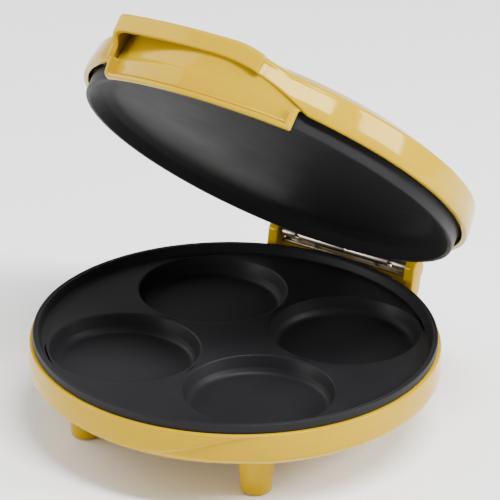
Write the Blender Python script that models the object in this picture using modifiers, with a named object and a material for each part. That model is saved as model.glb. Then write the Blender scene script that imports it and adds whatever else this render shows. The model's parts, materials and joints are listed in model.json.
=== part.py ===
"""Four-well electric donut maker with a hinged lid, modelled as the pieces it is built from.

Sizes are in millimetres and turned into metres where a mesh is made.
Every piece is drawn in the machine's frame: the lower plate's axis is x = y = 0, the feet
stand on z = 0, the front is -Y.  Lid pieces are drawn with the lid closed, and the empty on
the hinge pin then opens them.
"""
import math

import bmesh
import bpy

MM = 0.001

# Driving dimensions
PLATE_R = 110.0          # outer radius of the lower plate's rim
RIM_Z = 53.0             # height of that rim above the table
WELL_R = 41.0            # mouth radius of one well
WELL_DEPTH = 10.0
WELL_PITCH = 43.1        # each well's centre lies this far from both centre lines
WALL = 2.2               # moulded shells
PLATE_T = 2.2            # plates' floors
OPEN_DEG = 45.0          # how far the lid stands open at rest
HINGE_Y = 112.0
HINGE_Z = RIM_Z + 4.5
LID_Y = -2.0             # the lid's axis sits slightly forward of the base's
AXIS_Y = -10.5           # moves the machine so that its bounding box is centred on the origin
GAP = 0.3                # play between pieces that touch

# Heights worked out from them
FLOOR_Z = RIM_Z - 5.0                    # cooking surface of the lower plate
PLATE_UNDER = FLOOR_Z - PLATE_T
WELL_FLOOR = FLOOR_Z - WELL_DEPTH
WELL_WALL = 1.8
SHELL_TOP = RIM_Z - 5.1                  # top edge of the base shell
LID_LIP = RIM_Z + 2.0                    # the upper plate's lip, closed
LID_FLOOR = LID_LIP + 8.0                # the upper plate's cooking surface
LID_BACK = LID_FLOOR + PLATE_T
LID_EDGE = RIM_Z + 10.5                  # lower edge of the lid's wall
HEATER_R = 2.7
HEATER_RING = 50.0
CLAMP_T = 1.0
CLAMP_SCREW_RING = 66.0
FOOT_X, FOOT_Y = 55.0, 62.5
BASE_SCREW_X, BASE_SCREW_Y = 36.0, 94.0
GLAND_Z = 37.4
POST_IN, POST_OUT = 41.5, 48.0
BARREL_R = 3.0
PIN_R = 1.5
CENTRE_BARREL = 29.2
END_BARREL = (31.8, 40.9)
HOUSING_X = 50.3                         # inner half width of the lid's hinge housing
HOUSING_BACK = HINGE_Y + 7.0

BIG, MEDIUM, SMALL = 32, 16, 8          # sides of large, middling and small round pieces

for old in list(bpy.data.objects):
    bpy.data.objects.remove(old, do_unlink=True)


def new_collection(name):
    collection = bpy.data.collections.new(name)
    bpy.context.scene.collection.children.link(collection)
    return collection


PARTS = new_collection("donut_maker")
CUTTERS = new_collection("cutters")


def new_empty(name, location, parent=None):
    empty = bpy.data.objects.new(name, None)
    PARTS.objects.link(empty)
    empty.location = [v * MM for v in location]
    empty.parent = parent
    return empty


MACHINE = new_empty("machine", (0, AXIS_Y, 0))
LID_PIVOT = new_empty("lid_pivot", (0, HINGE_Y, HINGE_Z), MACHINE)
LID_PIVOT.rotation_euler.x = -math.radians(OPEN_DEG)
ORIGIN = {"base": (0, 0, 0), "lid": (0, HINGE_Y, HINGE_Z)}
PARENT = {"base": MACHINE, "lid": LID_PIVOT}


def material(name, colour, roughness, metallic=0.0):
    made = bpy.data.materials.new(name)
    made.use_nodes = True
    shader = made.node_tree.nodes["Principled BSDF"]
    shader.inputs["Base Color"].default_value = (*colour, 1.0)
    shader.inputs["Roughness"].default_value = roughness
    shader.inputs["Metallic"].default_value = metallic
    return made


YELLOW = material("yellow_shell", (0.88, 0.55, 0.01), 0.15)
COATING = material("nonstick", (0.03, 0.03, 0.032), 0.4)
STEEL = material("plated_steel", (0.55, 0.52, 0.47), 0.3, 1.0)
ALUMINIUM = material("reflector_sheet", (0.75, 0.75, 0.76), 0.35, 1.0)
ELEMENT = material("heater_sheath", (0.25, 0.23, 0.22), 0.5, 1.0)
CERAMIC = material("terminal_ceramic", (0.82, 0.80, 0.74), 0.6)
RUBBER = material("foot_rubber", (0.03, 0.03, 0.03), 0.8)
GLAND = material("gland_plastic", (0.02, 0.02, 0.02), 0.45)
RED_LENS = material("power_lens", (0.75, 0.03, 0.02), 0.1)
GREEN_LENS = material("ready_lens", (0.03, 0.55, 0.08), 0.1)
SLEEVE = material("lead_sleeve", (0.80, 0.78, 0.72), 0.7)


# --- building helpers -------------------------------------------------------------------

def place(obj, group, at=(0, 0, 0), turn=(0, 0, 0), paint=None):
    """Put an object in its group's frame; without a paint it is a cutter or a blank."""
    origin = ORIGIN[group]
    obj.parent = PARENT[group]
    obj.location = [(a - o) * MM for a, o in zip(at, origin)]
    obj.rotation_euler = [math.radians(a) for a in turn]
    if paint is None:
        CUTTERS.objects.link(obj)
        obj.hide_render = True
        obj.display_type = "WIRE"
    else:
        PARTS.objects.link(obj)
        obj.data.materials.append(paint)
    return obj


def turned(name, profile, group, paint=None, at=(0, 0, 0), turn=(0, 0, 0), steps=SMALL):
    """A solid of revolution: (radius, height) points down the outer side, then back."""
    mesh = bpy.data.meshes.new(name)
    points = [(r * MM, 0, z * MM) for r, z in profile]
    edges = [(i, i + 1) for i in range(len(points) - 1)]
    if profile[0][0] > 0:
        edges.append((len(points) - 1, 0))
    mesh.from_pydata(points, edges, [])
    obj = bpy.data.objects.new(name, mesh)
    place(obj, group, at, turn, paint)
    screw = obj.modifiers.new("revolve", "SCREW")
    screw.steps = screw.render_steps = steps
    screw.use_merge_vertices = True
    screw.merge_threshold = 0.00001
    screw.use_smooth_shade = True
    return obj


def box(name, low, high, group, paint=None, bevel=0.0):
    mesh = bpy.data.meshes.new(name)
    shape = bmesh.new()
    bmesh.ops.create_cube(shape, size=1.0)
    size = [(b - a) * MM for a, b in zip(low, high)]
    bmesh.ops.scale(shape, vec=size, verts=shape.verts)
    shape.to_mesh(mesh)
    shape.free()
    obj = bpy.data.objects.new(name, mesh)
    place(obj, group, [(a + b) / 2 for a, b in zip(low, high)], paint=paint)
    if bevel:
        round_edges(obj, bevel)
    return obj


def round_edges(obj, width, segments=2):
    edge = obj.modifiers.new("round", "BEVEL")
    edge.width = width * MM
    edge.segments = segments
    edge.angle_limit = math.radians(40)


def cylinder(name, radius, low, high, group, at=(0, 0), paint=None, steps=SMALL):
    """An upright cylinder from low to high, its axis at (x, y)."""
    profile = [(0, high), (radius, high), (radius, low), (0, low)]
    return turned(name, profile, group, paint, (*at, 0), steps=steps)


def curve_to_mesh(name, curve):
    """The welded mesh of a curve's evaluated shape."""
    guide = bpy.data.objects.new(name + "_guide", curve)
    CUTTERS.objects.link(guide)
    evaluated = guide.evaluated_get(bpy.context.evaluated_depsgraph_get())
    mesh = bpy.data.meshes.new_from_object(evaluated)
    shape = bmesh.new()
    shape.from_mesh(mesh)
    bmesh.ops.remove_doubles(shape, verts=shape.verts, dist=0.00001)
    shape.to_mesh(mesh)
    shape.free()
    bpy.data.objects.remove(guide, do_unlink=True)
    return mesh


def prism(name, outline, low, high, axis, group, paint=None, bevel=0.0):
    """A flat outline given thickness along an axis: X (outline in y, z), Y (x, z) or Z."""
    curve = bpy.data.curves.new(name, "CURVE")
    curve.dimensions = "2D"
    curve.fill_mode = "BOTH"
    curve.extrude = (high - low) / 2 * MM
    spline = curve.splines.new("POLY")
    spline.points.add(len(outline) - 1)
    for point, (a, b) in zip(spline.points, outline):
        point.co = (a * MM, b * MM, 0, 1)
    spline.use_cyclic_u = True
    obj = bpy.data.objects.new(name, curve_to_mesh(name, curve))
    middle = (low + high) / 2
    at, turn = {"X": ((middle, 0, 0), (90, 0, 90)),
                "Y": ((0, middle, 0), (90, 0, 0)),
                "Z": ((0, 0, middle), (0, 0, 0))}[axis]
    place(obj, group, at, turn, paint)
    if bevel:
        round_edges(obj, bevel)
    return obj


def tube(name, points, radius, group, paint, sides=2):
    """A round wire or rod through points."""
    curve = bpy.data.curves.new(name, "CURVE")
    curve.dimensions = "3D"
    curve.bevel_depth = radius * MM
    curve.bevel_resolution = sides
    curve.use_fill_caps = True
    spline = curve.splines.new("POLY")
    spline.points.add(len(points) - 1)
    for point, place_at in zip(spline.points, points):
        point.co = (*[v * MM for v in place_at], 1)
    obj = bpy.data.objects.new(name, curve_to_mesh(name, curve))
    return place(obj, group, (0, 0, 0), paint=paint)


def smooth_path(knots, count):
    """Points along a Catmull-Rom curve through the knots."""
    padded = [knots[0], *knots, knots[-1]]
    points = []
    spans = len(knots) - 1
    for i in range(count):
        at = i * spans / (count - 1)
        k = min(int(at), spans - 1)
        t = at - k
        a, b, c, d = padded[k:k + 4]
        points.append([0.5 * (2 * b[j] + (c[j] - a[j]) * t
                              + (2 * a[j] - 5 * b[j] + 4 * c[j] - d[j]) * t * t
                              + (3 * b[j] - a[j] - 3 * c[j] + d[j]) * t ** 3)
                       for j in range(3)])
    return points


def boolean(obj, other, operation):
    step = obj.modifiers.new(operation.lower(), "BOOLEAN")
    step.operation = operation
    step.object = other
    step.solver = "EXACT"


def join(obj, *others):
    for other in others:
        boolean(obj, other, "UNION")


def cut(obj, *others):
    for other in others:
        boolean(obj, other, "DIFFERENCE")


def drill(obj, name, radius, low, high, group, at, steps=SMALL):
    """Cut an upright round hole, turned half a step so that its edges miss the piece's own."""
    profile = [(0, high), (radius, high), (radius, low), (0, low)]
    cut(obj, turned(name, profile, group, at=(*at, 0), turn=(0, 0, 180 / steps), steps=steps))


def bend(start, control, end, count):
    """Points of a quadratic curve, without its start."""
    points = []
    for i in range(1, count + 1):
        t = i / count
        points.append(tuple((1 - t) ** 2 * a + 2 * t * (1 - t) * b + t * t * c
                            for a, b, c in zip(start, control, end)))
    return points


def ring_of(radius, count, first=0.0, centre_y=0.0):
    for i in range(count):
        angle = math.radians(first + 360 * i / count)
        yield radius * math.cos(angle), centre_y + radius * math.sin(angle)


def screw_piece(name, group, at, seat, tip, head=3.0, shank=1.5, below=True):
    """A pan-head screw on the z axis: its head bears at seat and its shank ends at tip."""
    crown = seat - 1.7 if below else seat + 1.7
    profile = [(0, crown), (head, crown), (head, seat), (shank, seat), (shank, tip), (0, tip)]
    if below:
        profile.reverse()
    return turned(name, profile, group, STEEL, (*at, 0))


# --- base -------------------------------------------------------------------------------

def base_shell():
    outer = [(0, 22.7), (79, 22.7), (85, 26.3), (95, 28.2)]
    inner_wall = bend((95, 28.2), (108.6, 28.6), (109.6, 34), 3)
    bowl_out = bend((112.2, 34), (111, 26.2), (96, 26), 4)
    profile = outer + inner_wall + [
        (109.8, 40), (108.2, 44), (108.2, SHELL_TOP),
        (111.2, SHELL_TOP), (111.9, SHELL_TOP - 0.7), (112.3, 40), (112.2, 34),
    ] + bowl_out + [(86, 24.2), (80, 20.5), (0, 20.5)]
    shell = turned("base_shell", profile, "base", YELLOW, steps=BIG)
    for i, (sx, sy) in enumerate([(1, 1), (-1, 1), (-1, -1), (1, -1)]):
        foot = [(0, 27.4), (10.4, 27.4), (10.2, 22), (8.1, 1.2), (7.6, 0.6), (0, 0.6)]
        join(shell, turned(f"foot_{i}", foot, "base", at=(sx * FOOT_X, sy * FOOT_Y, 0),
                           steps=12))
        spot = (sx * BASE_SCREW_X, sy * BASE_SCREW_Y)
        join(shell, cylinder(f"shell_boss_{i}", 5.6, 27.6, 33.7, "base", spot, steps=12))
    join(shell, hinge_pad(), *hinge_posts())
    join(shell, box("terminal_seat", (-12, 80.5, 24), (12, 90.5, 28), "base"))
    clearance = [(0, 80), (PLATE_R + 0.4, 80), (PLATE_R + 0.4, SHELL_TOP),
                 (108.2, SHELL_TOP), (108.2, 43.8), (0, 43.8)]
    cut(shell, turned("plate_clearance", clearance, "base", steps=BIG))
    for i, (sx, sy) in enumerate([(1, 1), (-1, 1), (-1, -1), (1, -1)]):
        drill(shell, f"pad_recess_{i}", 6.8, -2, 2.1, "base", (sx * FOOT_X, sy * FOOT_Y), 12)
        spot = (sx * BASE_SCREW_X, sy * BASE_SCREW_Y)
        bore = [(0, 36), (1.9, 36), (1.9, 30), (3.8, 30), (3.8, 18), (0, 18)]
        cut(shell, turned(f"base_screw_bore_{i}", bore, "base", at=(*spot, 0), turn=(0, 0, 15),
                          steps=12))
    cut(shell, turned("gland_hole", [(0, 8), (5.3, 8), (5.3, -8), (0, -8)], "base",
                      at=(0, 110, GLAND_Z), turn=(90, 0, 0), steps=12))
    for side in (-1, 1):
        drill(shell, f"hinge_screw_hole_{side}", 1.4, 47.4, 60, "base", (side * 20, 113.6))


def hinge_pad():
    return box("hinge_pad", (-44, 104, 46.2), (44, 116.4, HINGE_Z - 6.1), "base")


def hinge_posts():
    crown = [(HINGE_Y + 8.2 * math.cos(math.radians(a)), HINGE_Z + 8.2 * math.sin(math.radians(a)))
             for a in range(180, -61, -20)]
    outline = [(104.4, 31)] + crown + [(114, 46), (109, 36)]
    return [prism(f"hinge_post_{side}", outline, *sorted((side * POST_IN, side * POST_OUT)),
                  "X", "base") for side in (-1, 1)]


def lower_plate():
    profile = [(0, FLOOR_Z), (105, FLOOR_Z), (106.6, 51.6), (107.2, RIM_Z - 0.2),
               (107.8, RIM_Z), (109.6, RIM_Z), (PLATE_R, RIM_Z - 0.4), (PLATE_R, SHELL_TOP + GAP),
               (107.8, SHELL_TOP + GAP), (107.8, 44.2), (105.6, 44.2), (105.6, PLATE_UNDER),
               (0, PLATE_UNDER)]
    plate = turned("lower_plate", profile, "base", COATING, steps=BIG)
    under = WELL_FLOOR - WELL_WALL
    cup = [(0, 47), (WELL_R + 1.8, 47), (WELL_R - 0.2, 41)]
    cup += bend((WELL_R - 0.2, 41), (WELL_R - 1.6, under), (WELL_R - 7, under), 3) + [(0, under)]
    hollow = [(0, 49.5), (WELL_R, 49.5), (WELL_R, FLOOR_Z), (WELL_R - 2, 41.5)]
    hollow += bend((WELL_R - 2, 41.5), (WELL_R - 3.2, WELL_FLOOR), (WELL_R - 8, WELL_FLOOR), 3)
    hollow += [(0, WELL_FLOOR)]
    spots = [(sx * WELL_PITCH, sy * WELL_PITCH, 0) for sx in (-1, 1) for sy in (-1, 1)]
    for i, spot in enumerate(spots):
        join(plate, turned(f"well_cup_{i}", cup, "base", at=spot, steps=MEDIUM))
    clamp_boss_foot = lower_clamp_top() + GAP
    studs = [(x, y, 3.6, clamp_boss_foot) for x, y in ring_of(CLAMP_SCREW_RING, 4)]
    studs += [(sx * BASE_SCREW_X, sy * BASE_SCREW_Y, 4.0, 34.0) for sx in (-1, 1) for sy in (-1, 1)]
    studs += [(sx * 13.5, 0, 2.6, 39.0) for sx in (-1, 1)]
    for i, (x, y, radius, foot) in enumerate(studs):
        join(plate, cylinder(f"stud_{i}", radius, foot, PLATE_UNDER + 0.6, "base", (x, y), steps=8))
    for i, spot in enumerate(spots):
        cut(plate, turned(f"well_hollow_{i}", hollow, "base", at=spot, steps=MEDIUM))
    for i, (x, y, radius, foot) in enumerate(studs):
        bore = 1.3 if radius < 3 else 1.8
        drill(plate, f"stud_bore_{i}", bore, foot - 2, PLATE_UNDER - 1.5, "base", (x, y))


def heater_centre():
    return WELL_FLOOR - WELL_WALL - GAP - HEATER_R


def lower_clamp_top():
    return heater_centre() - HEATER_R - GAP


def heater(name, group, z, centre_y=0.0):
    """A horseshoe element whose ends come straight back beside each other."""
    gap_angle = 15
    arc = []
    for i in range(29):
        angle = math.radians(90 + gap_angle + (360 - 2 * gap_angle) * i / 28)
        arc.append((HEATER_RING * math.cos(angle), centre_y + HEATER_RING * math.sin(angle), z))
    ends = [(arc[0][0], arc[0][1] + 12, z), (arc[-1][0], arc[-1][1] + 12, z)]
    tube(name, [ends[0]] + arc + [ends[1]], HEATER_R, group, ELEMENT)
    return ends


def clamp_plate(name, group, low, high, centre_y=0.0):
    profile = [(70.5, high), (70.5, low), (43, low), (43, high)]
    plate = turned(name, profile, group, ALUMINIUM, (0, centre_y, 0), (0, 0, 180 / BIG), BIG)
    for i, (x, y) in enumerate(ring_of(CLAMP_SCREW_RING, 4, centre_y=centre_y)):
        drill(plate, f"{name}_hole_{i}", 1.9, low - 2, high + 2, group, (x, y))


def lower_heating():
    ends = heater("lower_heater", "base", heater_centre())
    top = lower_clamp_top()
    clamp_plate("lower_heater_clamp", "base", top - CLAMP_T, top)
    for i, spot in enumerate(ring_of(CLAMP_SCREW_RING, 4)):
        seat = top - CLAMP_T - GAP
        if i == 1:
            seat -= 0.8 + GAP
        screw_piece(f"lower_clamp_screw_{i + 1}", "base", spot, seat, 37)
    tag_top = top - CLAMP_T - GAP
    tag = box("earth_tag", (-3.5, 61.5, tag_top - 0.8), (3.5, 77, tag_top), "base", STEEL)
    drill(tag, "earth_tag_hole", 1.9, 20, 40, "base", (0, CLAMP_SCREW_RING))
    pan = [(0, 24.8), (56, 24.8), (61.4, 27.2), (62, 26.5), (56.4, 24.0), (0, 24.0)]
    turned("lower_reflector", pan, "base", ALUMINIUM, steps=BIG)
    return ends


def thermostat_group():
    disc = [(0, 45.4), (7.6, 45.4), (8, 45), (8, 41), (6.2, 40.4), (6.2, 37.2), (0, 37.2)]
    turned("thermostat", disc, "base", CERAMIC, steps=12)
    strap = box("thermostat_bracket", (-16.5, -3.5, 35.9), (16.5, 3.5, 36.9), "base", STEEL)
    for side in (-1, 1):
        foot = box(f"bracket_foot_{side}", (side * 13.5 - 3, -3.5, 36.2), (side * 13.5 + 3, 3.5, 38.7),
                   "base")
        join(strap, foot)
        drill(strap, f"bracket_hole_{side}", 1.5, 30, 42, "base", (side * 13.5, 0))
        screw_piece(f"thermostat_screw_{(side + 3) // 2}", "base", (side * 13.5, 0), 35.6, 42,
                    head=2.4, shank=1.1)
    fuse = [(0, 8), (1.4, 8), (2.2, 7), (2.2, -7), (1.4, -8), (0, -8)]
    turned("thermal_fuse", fuse, "base", CERAMIC, (0, 12.5, 41), (0, 90, 0), steps=8)


def supply(heater_ends):
    box("terminal_block", (-13, 80, 28.3), (13, 91, 35.6), "base", CERAMIC, bevel=0.8)
    collar = [(3.2, 9), (6.2, 9), (7.2, 7), (7.2, 2.8), (5.0, 2.8), (5.0, -2.9), (6.0, -2.9),
              (6.0, -4.4), (3.2, -4.4)]
    turned("cord_gland", collar, "base", GLAND, (0, HINGE_Y - 1.8, GLAND_Z), (-90, 0, 0),
           steps=12)
    for side in (-1, 1):
        number = (side + 3) // 2
        knots = [(side * 1.5, 105.4, GLAND_Z), (side * 3, 101, 36), (side * 6, 95.5, 33),
                 (side * 7, 91.4, 32)]
        tube(f"supply_lead_{number}", smooth_path(knots, 10), 1.1, "base", SLEEVE, sides=1)
        x, y, z = heater_ends[0 if side < 0 else 1]
        knots = [(x, y + 0.4, z), (x, y + 7, z - 0.5), (side * 10, 74, 32.5), (side * 9, 79.6, 32)]
        tube(f"heater_lead_{number}", smooth_path(knots, 10), 1.1, "base", SLEEVE, sides=1)


def base_fasteners():
    for i, (sx, sy) in enumerate([(1, 1), (-1, 1), (-1, -1), (1, -1)]):
        screw_piece(f"base_screw_{i + 1}", "base", (sx * BASE_SCREW_X, sy * BASE_SCREW_Y),
                    29.7, 41, head=3.3)
        pad = [(0, 1.8), (6.4, 1.8), (6.4, 0.5), (5.9, 0), (0, 0)]
        turned(f"foot_pad_{i + 1}", pad, "base", RUBBER, (sx * FOOT_X, sy * FOOT_Y, 0), steps=12)


# --- hinge ------------------------------------------------------------------------------

def barrel(name, low, high, group, paint=None):
    ring = [(PIN_R + 0.15, high), (BARREL_R, high), (BARREL_R, low), (PIN_R + 0.15, low)]
    return turned(name, ring, group, paint, (0, HINGE_Y, HINGE_Z), (0, 90, 0), steps=12)


def lower_hinge():
    leaf_low = HINGE_Z - 5.8
    leaf = box("lower_hinge_bracket", (-40.9, 110.9, leaf_low), (40.9, 116, leaf_low + 1.0),
               "base", STEEL)
    for side in (-1, 1):
        low, high = sorted(side * v for v in END_BARREL)
        join(leaf, barrel(f"end_barrel_{side}", low, high, "base"))
        join(leaf, box(f"end_neck_{side}", (low, HINGE_Y + 1.9, leaf_low + 0.4),
                       (high, HINGE_Y + 2.9, HINGE_Z - 0.2), "base"))
        drill(leaf, f"leaf_hole_{side}", 1.7, 40, 55, "base", (side * 20, 113.6))
        screw_piece(f"lower_hinge_screw_{(side + 3) // 2}", "base", (side * 20, 113.6),
                    leaf_low + 1.0 + 0.1, 48, head=2.3, shank=1.2, below=False)
    pin = [(0, 41.0), (PIN_R, 41.0), (PIN_R, -41.0), (0, -41.0)]
    turned("hinge_pin", pin, "base", STEEL, (0, HINGE_Y, HINGE_Z), (0, 90, 0), steps=12)


def upper_hinge():
    flange_low = LID_BACK + 5.0
    near, far, top = HINGE_Y - 1.9, HINGE_Y - 2.9, flange_low + 1.0
    outline = [(near, HINGE_Z), (near, top), (93, top), (93, flange_low), (far, flange_low),
               (far, HINGE_Z)]
    half = CENTRE_BARREL - 0.4
    leaf = prism("upper_hinge_bracket", outline, -half, half, "X", "lid", STEEL)
    join(leaf, barrel("centre_barrel", -CENTRE_BARREL, CENTRE_BARREL, "lid"))
    for side in (-1, 1):
        drill(leaf, f"flange_hole_{side}", 1.9, 60, 80, "lid", (side * 20, 98))
        screw_piece(f"upper_hinge_screw_{(side + 3) // 2}", "lid", (side * 20, 98),
                    flange_low + 1.0 + GAP, LID_BACK + 1.0, below=False)


# --- lid --------------------------------------------------------------------------------

def upper_plate():
    profile = [(0, LID_BACK), (103, LID_BACK), (107.2, LID_BACK - 0.4), (107.6, LID_BACK - 1.2),
               (107.6, LID_LIP + 0.4), (107.2, LID_LIP), (105.4, LID_LIP), (104.4, LID_LIP + 0.5),
               (99, LID_LIP + 5.4), (95.5, LID_FLOOR - 0.6), (92, LID_FLOOR), (0, LID_FLOOR)]
    plate = turned("upper_plate", profile, "lid", COATING, (0, LID_Y, 0), steps=BIG)
    clamp_low = LID_BACK + GAP + 2 * HEATER_R + GAP
    studs = [(x, y, clamp_low - GAP) for x, y in ring_of(CLAMP_SCREW_RING, 4, centre_y=LID_Y)]
    studs += [(side * 20, 98, LID_BACK + 5.0 - GAP) for side in (-1, 1)]
    for i, (x, y, top) in enumerate(studs):
        join(plate, cylinder(f"upper_stud_{i}", 3.6, LID_BACK - 0.6, top, "lid", (x, y), steps=8))
    for i, (x, y, top) in enumerate(studs):
        drill(plate, f"upper_stud_bore_{i}", 1.8, LID_BACK + 0.4, top + 2, "lid", (x, y))


def upper_heating():
    ends = heater("upper_heater", "lid", LID_BACK + GAP + HEATER_R, LID_Y)
    low = LID_BACK + GAP + 2 * HEATER_R + GAP
    clamp_plate("upper_heater_clamp", "lid", low, low + CLAMP_T, LID_Y)
    for i, spot in enumerate(ring_of(CLAMP_SCREW_RING, 4, centre_y=LID_Y)):
        screw_piece(f"upper_clamp_screw_{i + 1}", "lid", spot, low + CLAMP_T + GAP,
                    LID_BACK + 1.0, below=False)
    pan = [(0, 76.8), (78, 76.8), (84, 74.6), (84.4, 73.8), (77.8, 76.0), (0, 76.0)]
    turned("upper_reflector", pan, "lid", ALUMINIUM, (0, LID_Y, 0), steps=BIG)
    for side in (-1, 1):
        x, y, z = ends[0 if side < 0 else 1]
        knots = [(x, y + 0.4, z), (side * 15, y + 9, z), (side * 28, 86, 69.5),
                 (side * 34, 98, 69.5), (side * 35, 108, 68.5)]
        tube(f"upper_lead_{(side + 3) // 2}", smooth_path(knots, 12), 1.1, "lid", SLEEVE, sides=1)


def lid_profile(inset):
    """The lid's wall and crown down its outer side, moved inward for its inner face."""
    crown = [(0, 92), (60, 90.8), (84, 88.0), (96, 84.6), (105, 81.8)]
    wall = [(109.8, 80.2), (112.7, 76.3), (113.3, 70), (112.5, LID_EDGE)]
    if not inset:
        return crown + wall
    lowered = [(r if r < 80 else r - inset * 0.4, z - inset) for r, z in crown]
    return lowered + [(r - inset, min(z, 78.0)) for r, z in wall[:-1]] + [(wall[-1][0] - inset, 60)]


HANDLE_FRONT = 115.0
HANDLE_CURVE = 466.0                     # the hood's front falls back by x squared over this
HOOD_LEFT = -61.0
HOOD_RIGHT = 33.0
HOOD_LOW, HOOD_HIGH = RIM_Z + 24.0, RIM_Z + 34.6
TAB_X, TAB_Y, TAB_TOP = 34.0, -91.3, 78.0    # the screwed tabs that hold the handle insert


def hood_front(x):
    return -HANDLE_FRONT + x * x / HANDLE_CURVE


def hood_outline(inset=0.0):
    left, right = HOOD_LEFT + inset, HOOD_RIGHT
    steps = 8
    front = [(left + (right - left) * i / steps, 0) for i in range(steps + 1)]
    front = [(x, hood_front(x) + inset) for x, _ in front]
    back = -84 - 2 * inset
    return front + [(right + 12 - 3 * inset, -103), (right + 4 - inset, back), (left + 8, back)]


def recess_outline(inset=0.0, foot=60.0):
    """The arch under the hood, seen from the front: steep on the left, swept on the right."""
    left, right, top = -57.6 + inset, 59.6 - inset, HOOD_LOW + 0.7 - inset
    arch = [(left, foot), (left, 72.0)]
    arch += bend((left, 72.0), (left, top), (left + 6, top), 3)
    arch += [(-20, top), (8, top)]
    arch += bend((8, top), (34, top - 0.5), (right - 4, 66.0 - inset * 0.8), 5)
    arch += [(right, 64.0 - inset), (right, foot)]
    return arch


def lid_shell():
    shell = turned("lid_shell", lid_profile(0.0) + [(0, LID_EDGE)], "lid", YELLOW,
                   (0, LID_Y, 0), steps=BIG)
    hood = prism("hood_block", hood_outline(), HOOD_LOW, HOOD_HIGH, "Z", "lid", bevel=2.0)
    housing = box("hinge_housing", (-HOUSING_X - WALL, 84, LID_EDGE - 3),
                  (HOUSING_X + WALL, HOUSING_BACK + WALL, 80), "lid", bevel=2.5)
    cut(housing, box("housing_trim", (-60, 60, 50), (60, 130, LID_EDGE + 0.2), "lid"))
    join(shell, hood, housing)
    cut(shell, turned("lid_hollow", lid_profile(WALL) + [(0, 60)], "lid", at=(0, LID_Y, 0),
                      turn=(0, 0, 180 / BIG), steps=BIG))
    cut(shell, prism("hood_hollow", hood_outline(WALL), HOOD_LOW + WALL, HOOD_HIGH - WALL, "Z",
                     "lid"))
    cut(shell, box("housing_hollow", (-HOUSING_X, 80, 60), (HOUSING_X, HOUSING_BACK, 77.4), "lid"))
    cut(shell, prism("recess_opening", recess_outline(), -126, -90, "Y", "lid"))
    cut(shell, cylinder("insert_clearance", 104.6, 62, HOOD_LOW + WALL + 0.2, "lid", (0, LID_Y),
                        steps=BIG))
    for side in (-1, 1):
        join(shell, cylinder(f"handle_boss_{side}", 3.6, TAB_TOP + GAP, 86, "lid",
                             (side * TAB_X, TAB_Y)))
        drill(shell, f"handle_boss_bore_{side}", 1.8, 76, 83.5, "lid", (side * TAB_X, TAB_Y))
        drill(shell, f"lens_hole_{side}", 3.4, 80, 100, "lid", (side * 11, -72), 12)


def handle_insert():
    face = [(90, TAB_TOP), (90, 76.4), (99.4, 76.4), (101.4, 69.6), (108.3, 66.0), (108.3, 49.5),
            (114.4, 49.5), (115, 50.1), (115, 52.6), (113.4, 53.4), (110.9, 56.5), (110.7, 65.4),
            (104.2, 69.8), (102.2, TAB_TOP)]
    panel = turned("handle_insert", list(reversed(face)), "lid", YELLOW, (0, LID_Y, 0), steps=BIG)
    keep = prism("insert_outline", recess_outline(GAP, foot=48.0), -130, -60, "Y", "lid")
    for side in (-1, 1):
        join(keep, box(f"insert_tab_{side}", (side * TAB_X - 5, -98.6, 71),
                       (side * TAB_X + 5, -86, TAB_TOP + 0.2), "lid"))
    boolean(panel, keep, "INTERSECT")
    for side in (-1, 1):
        drill(panel, f"insert_hole_{side}", 1.9, 70, 82, "lid", (side * TAB_X, TAB_Y))
        screw_piece(f"handle_screw_{(side + 3) // 2}", "lid", (side * TAB_X, TAB_Y), 76.1, 82.5)


def indicators():
    for side, name, paint in ((-1, "power", RED_LENS), (1, "ready", GREEN_LENS)):
        top = 89.9
        lens = [(0, top + 0.9), (2.2, top + 0.7), (3.1, top), (3.1, 86.2), (4.4, 86.2), (4.4, 85),
                (0, 85)]
        turned(f"{name}_lens", lens, "lid", paint, (side * 11, -72, 0), steps=12)
        holder = [(0, 84.7), (4.2, 84.7), (4.2, 79), (2.4, 78), (0, 78)]
        turned(f"{name}_lamp_holder", holder, "lid", CERAMIC, (side * 11, -72, 0), steps=12)


def main():
    base_shell()
    lower_plate()
    supply(lower_heating())
    thermostat_group()
    base_fasteners()
    lower_hinge()
    upper_hinge()
    upper_plate()
    upper_heating()
    lid_shell()
    handle_insert()
    indicators()


main()
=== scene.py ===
import json
import math

import bmesh
import bpy
import numpy as np
from mathutils import Matrix, Vector


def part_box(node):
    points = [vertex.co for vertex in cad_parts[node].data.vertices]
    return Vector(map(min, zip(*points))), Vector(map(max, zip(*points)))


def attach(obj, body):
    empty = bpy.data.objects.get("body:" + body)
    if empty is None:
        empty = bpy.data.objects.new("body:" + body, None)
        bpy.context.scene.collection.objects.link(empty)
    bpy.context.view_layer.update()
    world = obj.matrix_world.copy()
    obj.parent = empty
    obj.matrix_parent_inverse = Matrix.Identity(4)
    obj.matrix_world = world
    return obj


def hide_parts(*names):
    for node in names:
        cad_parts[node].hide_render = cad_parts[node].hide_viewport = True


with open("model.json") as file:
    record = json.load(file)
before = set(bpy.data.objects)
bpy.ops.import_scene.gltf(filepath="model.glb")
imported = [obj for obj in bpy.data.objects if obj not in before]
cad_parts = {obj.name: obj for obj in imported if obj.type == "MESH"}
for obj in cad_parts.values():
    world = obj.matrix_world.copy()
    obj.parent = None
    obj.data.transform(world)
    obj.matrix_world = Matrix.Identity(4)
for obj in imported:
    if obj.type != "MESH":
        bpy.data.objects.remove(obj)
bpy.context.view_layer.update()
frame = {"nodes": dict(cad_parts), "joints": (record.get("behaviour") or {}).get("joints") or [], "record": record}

# Shapes are drawn in millimetres in the machine's own frame: the lower plate's axis is x = y = 0,
# the feet stand on z = 0, the front is -Y, and lid pieces are drawn with the lid closed.
hingeJoint = frame["joints"][0]
hingeAt = Vector(hingeJoint["pos_m"])
lidOpen = -math.radians(hingeJoint["range_deg"][0])
plateLow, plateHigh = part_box("lower_plate")
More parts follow.
